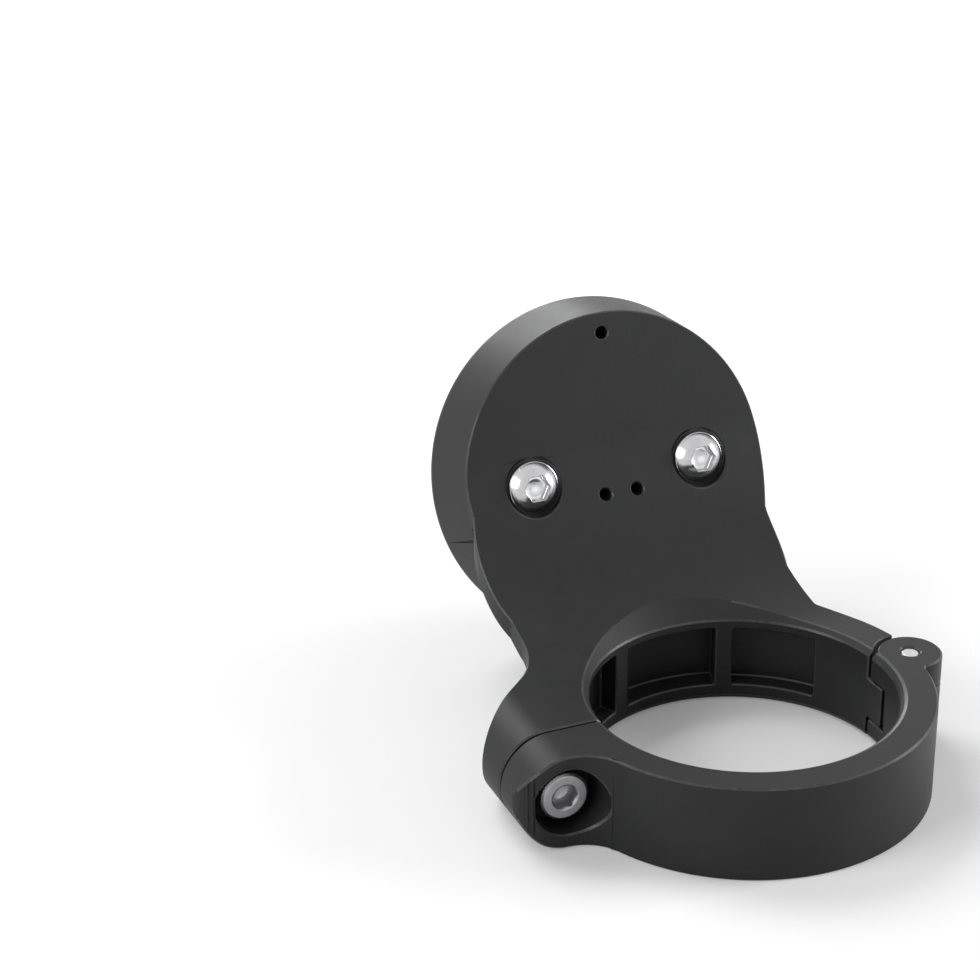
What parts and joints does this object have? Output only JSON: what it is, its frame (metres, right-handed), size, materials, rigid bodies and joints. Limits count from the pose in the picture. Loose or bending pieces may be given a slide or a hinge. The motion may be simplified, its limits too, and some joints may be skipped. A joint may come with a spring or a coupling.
{
  "type": "seatpost radar mount",
  "caption": "Hinged clamp ring for a seatpost with a raised, tilted quarter-turn socket that carries a rear radar or light.",
  "frame": {"origin": "on the axis of the clamp bore, in the plane of the ring's flat face that the part stands on", "axes": "+Z along the bore axis, out of the side that the socket rises on; +X towards the hinge; +Y towards the socket"},
  "size_m": [0.0522, 0.0665, 0.0406],
  "materials": {
    "body": "fine grained satin, glass-filled nylon",
    "strap": "fine grained satin, glass-filled nylon",
    "plate": "fine satin",
    "pin": "turned",
    "screw": "satin",
    "insert": "turned and knurled",
    "bolt": "polished"
  },
  "bodies": {
    "mount": {"body": "body", "hinge_pin": "pin", "quarter_turn_plate": "plate", "insert_left": "insert", "insert_right": "insert", "plate_bolt_left": "bolt", "plate_bolt_right": "bolt"},
    "strap": {"clamp_strap": "strap"},
    "screw": {"clamp_screw": "screw"}
  },
  "joints": [
    {"name": "strap_hinge", "type": "hinge", "parent": "mount", "child": "strap", "pos_m": [0.0205, 0, 0], "axis": [0, 0, 1], "range_deg": [0, 100]},
    {"name": "screw_travel", "type": "slide", "parent": "strap", "child": "screw", "axis": [0, -1, 0], "range_m": [0, 0.0065]}
  ]
}
